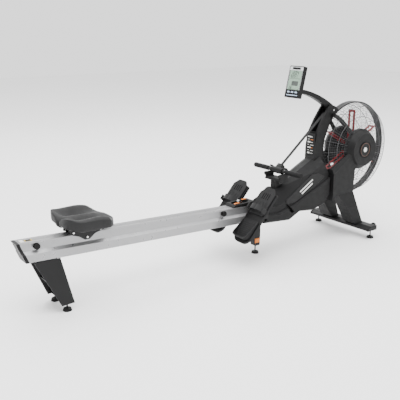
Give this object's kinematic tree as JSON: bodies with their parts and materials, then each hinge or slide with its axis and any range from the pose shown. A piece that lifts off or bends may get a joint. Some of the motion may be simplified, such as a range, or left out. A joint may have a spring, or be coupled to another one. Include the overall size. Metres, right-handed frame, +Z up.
{
  "type": "rowing machine",
  "caption": "Air rowing machine with a rolling seat on a sloping rail, strapped footrests, a strap-drawn handle, a caged fan and a console on a swing arm.",
  "frame": {"origin": "on the floor under the middle of the machine", "axes": "+X from the seat towards the fan, +Y to the left of a seated rower, +Z up"},
  "size_m": [2.5048, 0.5, 1.0736],
  "materials": {
    "satin_aluminium": "satin",
    "charcoal_plastic": "satin",
    "side_panel_plastic": "satin",
    "black_plastic": "matte",
    "dial_plastic": "satin",
    "mast_label_plastic": "satin",
    "black_painted_steel": "satin",
    "grey_wire": "satin",
    "ring_steel": "satin",
    "bright_steel": "satin",
    "spring_steel": "satin",
    "orange_plastic": "gloss",
    "foot_rubber": "matte",
    "roller_plastic": "satin",
    "seat_foam": "satin",
    "red_blades": "satin",
    "fan_hub_plastic": "satin",
    "grip_rubber": "matte",
    "webbing": "woven",
    "silver_plastic": "satin",
    "console_plastic": "satin",
    "screen": "gloss",
    "key_plastic": "gloss"
  },
  "bodies": {
    "frame": {"rail": "satin_aluminium", "body_shell_left": "charcoal_plastic", "body_shell_right": "charcoal_plastic", "mast_shell_left": "charcoal_plastic", "mast_shell_right": "charcoal_plastic", "arm_covers": "charcoal_plastic", "leg_covers": "charcoal_plastic", "hub_covers": "charcoal_plastic", "rail_lock_cover": "charcoal_plastic", "footrest_bases": "charcoal_plastic", "handle_cradle": "charcoal_plastic", "body_side_panels": "side_panel_plastic", "end_caps": "black_plastic", "toe_plates": "black_plastic", "mast_rear_panel": "mast_label_plastic", "rear_leg": "black_painted_steel", "main_frame": "black_painted_steel", "middle_foot_bracket": "black_painted_steel", "front_crossbar": "black_painted_steel", "brace_tubes": "black_painted_steel", "fan_guards": "grey_wire", "fan_ring": "ring_steel", "fan_axle": "bright_steel", "mast_bolts": "bright_steel", "recoil_spring": "spring_steel", "rail_stops": "foot_rubber", "foot_straps": "webbing"},
    "seat": {"seat_cushion": "seat_foam", "seat_carriage": "black_painted_steel", "carriage_axles": "bright_steel"},
    "front_rollers": {"seat_rollers_front": "roller_plastic"},
    "rear_rollers": {"seat_rollers_rear": "roller_plastic"},
    "lower_rollers": {"seat_rollers_lower": "roller_plastic"},
    "fan": {"fan_hub": "fan_hub_plastic", "fan_blades": "red_blades"},
    "drum": {"drive_drum": "black_plastic"},
    "strap_pulley": {"head_pulley": "black_plastic"},
    "handle": {"handle_bar": "black_painted_steel", "handle_centre": "black_plastic", "handle_grips": "grip_rubber", "drive_strap": "webbing"},
    "dial": {"resistance_dial": "dial_plastic"},
    "arm": {"console_arm": "charcoal_plastic"},
    "console": {"console_housing": "console_plastic", "console_bezel": "silver_plastic", "console_screen": "screen"},
    "key_1": {"console_key_1": "key_plastic"},
    "key_2": {"console_key_2": "key_plastic"},
    "key_3": {"console_key_3": "key_plastic"},
    "left_heel": {"heel_cup_left": "charcoal_plastic"},
    "right_heel": {"heel_cup_right": "charcoal_plastic"},
    "hook": {"lock_hook": "bright_steel"},
    "lever": {"release_lever": "orange_plastic"},
    "left_wheel": {"transport_wheel_left": "roller_plastic"},
    "right_wheel": {"transport_wheel_right": "roller_plastic"},
    "foot_rear_left": {"levelling_foot_rear_left": "foot_rubber"},
    "foot_rear_right": {"levelling_foot_rear_right": "foot_rubber"},
    "foot_middle": {"levelling_foot_middle": "foot_rubber"},
    "foot_front_left": {"levelling_foot_front_left": "foot_rubber"},
    "foot_front_right": {"levelling_foot_front_right": "foot_rubber"}
  },
  "joints": [
    {"name": "seat_slide", "type": "slide", "parent": "frame", "child": "seat", "axis": [0.9994, 0, -0.0349], "range_m": [-0.195, 0.775]},
    {"name": "front_roller_turn", "type": "hinge", "parent": "seat", "child": "front_rollers", "pos_m": [-0.84021, 0, 0.35856], "axis": [0, 1, 0], "range_deg": [-900, 3450]},
    {"name": "rear_roller_turn", "type": "hinge", "parent": "seat", "child": "rear_rollers", "pos_m": [-0.98013, 0, 0.36345], "axis": [0, 1, 0], "range_deg": [-900, 3450]},
    {"name": "lower_roller_turn", "type": "hinge", "parent": "seat", "child": "lower_rollers", "pos_m": [-0.91124, 0, 0.33042], "axis": [0, 1, 0], "range_deg": [-4500, 1180]},
    {"name": "handle_pull", "type": "slide", "parent": "frame", "child": "handle", "axis": [-0.9835, 0, 0.1811], "range_m": [0, 1.1], "stiffness_N_per_m": 5, "springref_m": -6, "deforming": ["drive_strap"]},
    {"name": "strap_pulley_turn", "type": "hinge", "parent": "frame", "child": "strap_pulley", "pos_m": [0.71945, 0, 0.768], "axis": [0, 1, 0], "range_deg": [-3020, 5]},
    {"name": "drum_turn", "type": "hinge", "parent": "frame", "child": "drum", "pos_m": [0.96145, -0.0485, 0.55], "axis": [0, 1, 0], "range_deg": [-1670, 5]},
    {"name": "fan_spin", "type": "hinge", "parent": "frame", "child": "fan", "pos_m": [0.96145, 0, 0.55], "axis": [0, 1, 0], "continuous": true},
    {"name": "dial_turn", "type": "hinge", "parent": "frame", "child": "dial", "pos_m": [0.27545, 0, 0.364], "axis": [-0.4307, 0, 0.9025], "range_deg": [-135, 135]},
    {"name": "console_arm_swing", "type": "hinge", "parent": "frame", "child": "arm", "pos_m": [0.75545, 0, 0.803], "axis": [0, 1, 0], "range_deg": [-15, 28]},
    {"name": "console_tilt", "type": "hinge", "parent": "arm", "child": "console", "pos_m": [0.50745, 0, 0.925], "axis": [0, 1, 0], "range_deg": [-17, 17]},
    {"name": "key_1_press", "type": "slide", "parent": "console", "child": "key_1", "axis": [0.9744, 0, -0.225], "range_m": [0, 0.001], "stiffness_N_per_m": 600, "springref_m": -0.0005},
    {"name": "key_2_press", "type": "slide", "parent": "console", "child": "key_2", "axis": [0.9744, 0, -0.225], "range_m": [0, 0.001], "stiffness_N_per_m": 600, "springref_m": -0.0005},
    {"name": "key_3_press", "type": "slide", "parent": "console", "child": "key_3", "axis": [0.9744, 0, -0.225], "range_m": [0, 0.001], "stiffness_N_per_m": 600, "springref_m": -0.0005},
    {"name": "left_heel_slide", "type": "slide", "parent": "frame", "child": "left_heel", "axis": [0.6561, 0, 0.7547], "range_m": [-0.012, 0.034]},
    {"name": "right_heel_slide", "type": "slide", "parent": "frame", "child": "right_heel", "axis": [0.6561, 0, 0.7547], "range_m": [-0.012, 0.034]},
    {"name": "lock_hook_swing", "type": "hinge", "parent": "frame", "child": "hook", "pos_m": [0.06945, 0, 0.3265], "axis": [0, 1, 0], "range_deg": [0, 50]},
    {"name": "release_lever_press", "type": "slide", "parent": "frame", "child": "lever", "axis": [0, 1, 0], "range_m": [0, 0.006], "stiffness_N_per_m": 500, "springref_m": -0.003},
    {"name": "left_wheel_turn", "type": "hinge", "parent": "frame", "child": "left_wheel", "pos_m": [0.99145, 0.208, 0.073], "axis": [0, 1, 0], "continuous": true},
    {"name": "right_wheel_turn", "type": "hinge", "parent": "frame", "child": "right_wheel", "pos_m": [0.99145, -0.208, 0.073], "axis": [0, 1, 0], "continuous": true},
    {"name": "rear_left_foot_screw", "type": "slide", "parent": "frame", "child": "foot_rear_left", "axis": [0, 0, 1], "range_m": [0, 0.01]},
    {"name": "rear_right_foot_screw", "type": "slide", "parent": "frame", "child": "foot_rear_right", "axis": [0, 0, 1], "range_m": [0, 0.01]},
    {"name": "middle_foot_screw", "type": "slide", "parent": "frame", "child": "foot_middle", "axis": [0, 0, 1], "range_m": [0, 0.01]},
    {"name": "front_left_foot_screw", "type": "slide", "parent": "frame", "child": "foot_front_left", "axis": [0, 0, 1], "range_m": [0, 0.01]},
    {"name": "front_right_foot_screw", "type": "slide", "parent": "frame", "child": "foot_front_right", "axis": [0, 0, 1], "range_m": [0, 0.01]}
  ],
  "couplings": [
    {"joint": "front_roller_turn", "follows": "seat_slide", "rad_per_m": 75.188},
    {"joint": "rear_roller_turn", "follows": "seat_slide", "rad_per_m": 75.188},
    {"joint": "lower_roller_turn", "follows": "seat_slide", "rad_per_m": -97.087},
    {"joint": "strap_pulley_turn", "follows": "handle_pull", "rad_per_m": -47.619},
    {"joint": "drum_turn", "follows": "handle_pull", "rad_per_m": -26.316}
  ]
}
